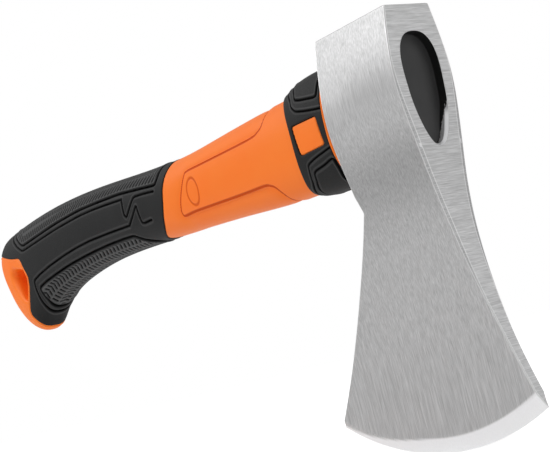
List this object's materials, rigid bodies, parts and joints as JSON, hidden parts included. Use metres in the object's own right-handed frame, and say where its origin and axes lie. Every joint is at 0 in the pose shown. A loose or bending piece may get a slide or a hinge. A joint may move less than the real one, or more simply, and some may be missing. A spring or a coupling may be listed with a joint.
{
  "type": "hand axe",
  "caption": "Short hand axe: flared ground steel head with a through eye, bonded to a hard moulded handle that has soft ribbed grip sleeves and a hanging hole in its butt.",
  "frame": {"origin": "centre of the poll's flat striking face, in the head's middle plane", "axes": "+X along the handle from the butt towards the head and out through its eye face, +Z out of the poll and away from the cutting edge, Y across the head's thickness"},
  "size_m": [0.3704, 0.0302, 0.1588],
  "materials": {
    "forged_steel": "ground, grain across the cheeks",
    "glass_fibre_bar": "pultruded",
    "black_nylon": "moulded",
    "cured_resin": "cast, dull",
    "seal_rubber": "matt",
    "orange_jacket": "satin moulded",
    "black_soft_grip": "matt, ribbed"
  },
  "bodies": {
    "root": {"axe_head": "forged_steel", "core_bar": "glass_fibre_bar", "eye_tang": "black_nylon", "eye_resin": "cured_resin", "resin_seal": "seal_rubber", "handle_jacket": "orange_jacket", "collar_sleeve": "black_soft_grip", "grip_sleeve": "black_soft_grip"}
  },
  "joints": []
}
